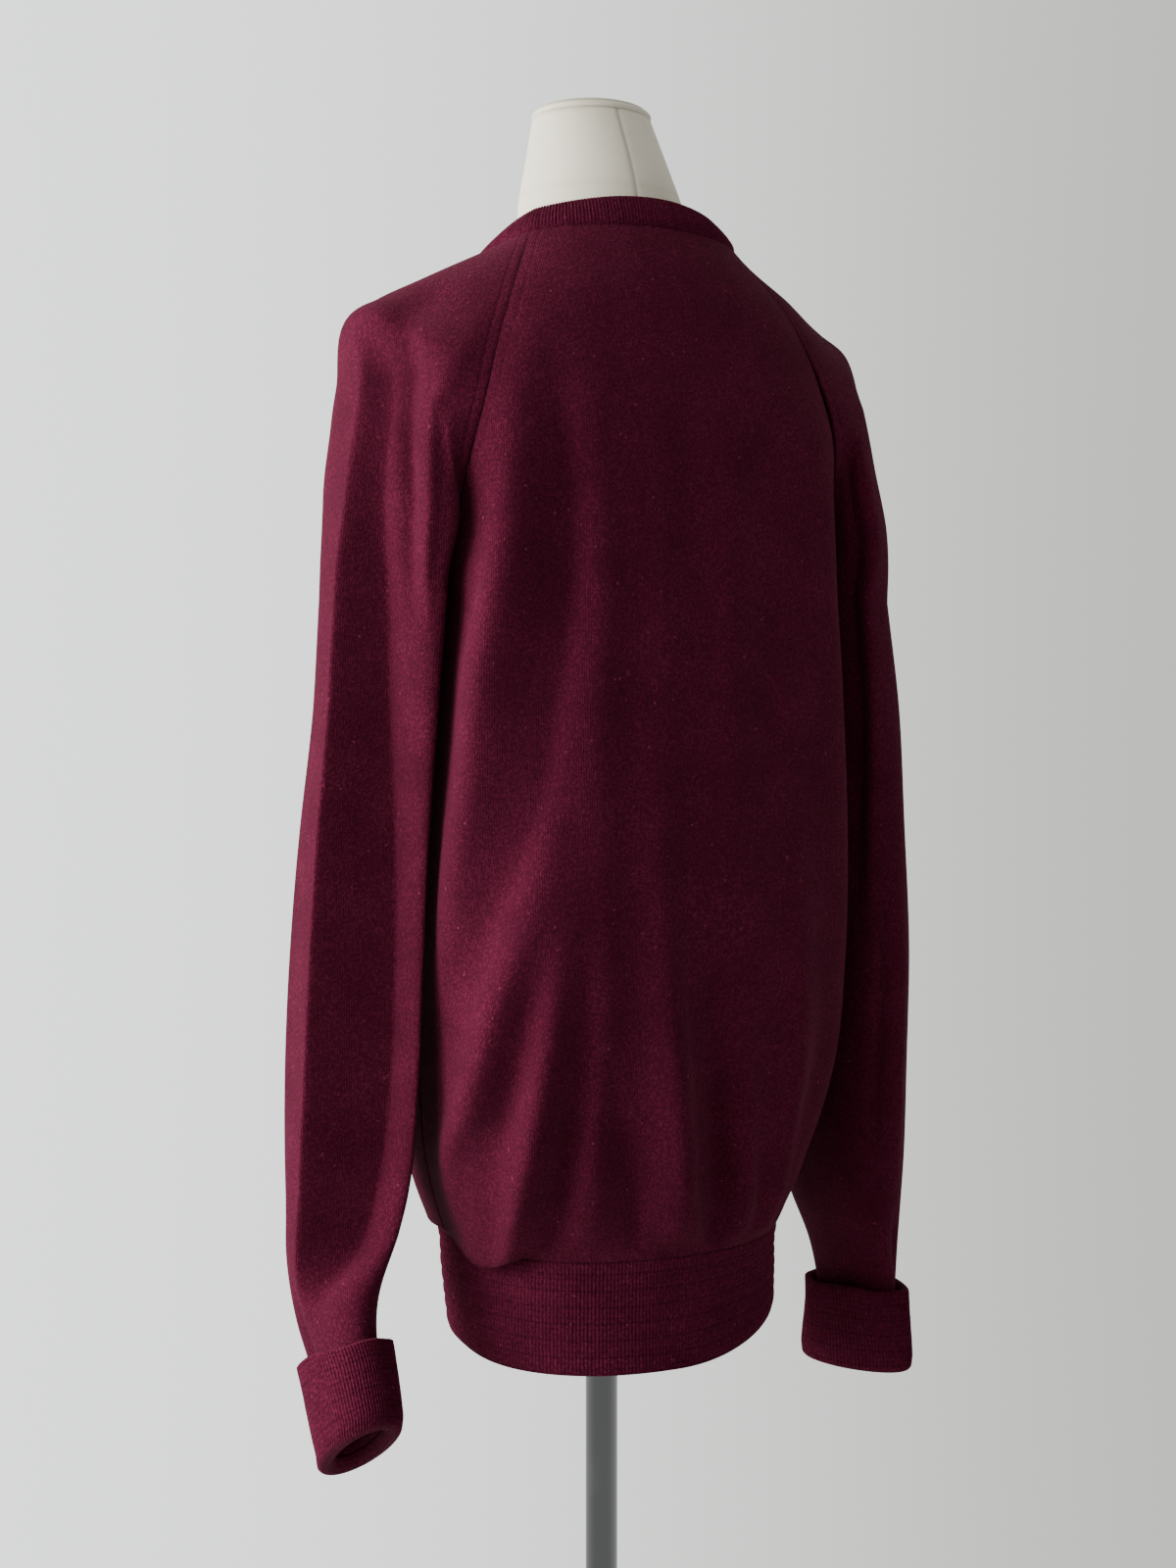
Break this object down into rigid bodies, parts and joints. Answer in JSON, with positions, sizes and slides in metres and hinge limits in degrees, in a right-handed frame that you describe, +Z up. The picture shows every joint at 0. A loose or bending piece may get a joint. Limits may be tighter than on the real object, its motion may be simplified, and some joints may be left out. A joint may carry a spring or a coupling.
{
  "type": "v-neck jumper on dress form",
  "caption": "Fine-knit raglan v-neck jumper with ribbed neckband, hem and turned-back cuffs, hanging on a limbless dress form with a pole stand.",
  "frame": {"origin": "on the floor under the pole, at the centre of the base's underside", "axes": "+Z up, the form faces -Y and its left side is +X"},
  "size_m": [0.4017, 0.36, 1.4903],
  "materials": {
    "knit": "fine burgundy knit, slightly brushed",
    "rib": "burgundy ribbed knit",
    "canvas": "cream cotton cover, plain",
    "chrome": "polished"
  },
  "bodies": {
    "root": {"back": "knit", "front": "knit", "sleeve_left": "knit", "sleeve_right": "knit", "hem_rib_back": "rib", "hem_rib_front": "rib", "cuff_left": "rib", "cuff_right": "rib", "neckband": "rib", "form_torso": "canvas", "form_neck_cap": "canvas", "stand_pole": "chrome", "stand_base": "chrome"}
  },
  "joints": []
}
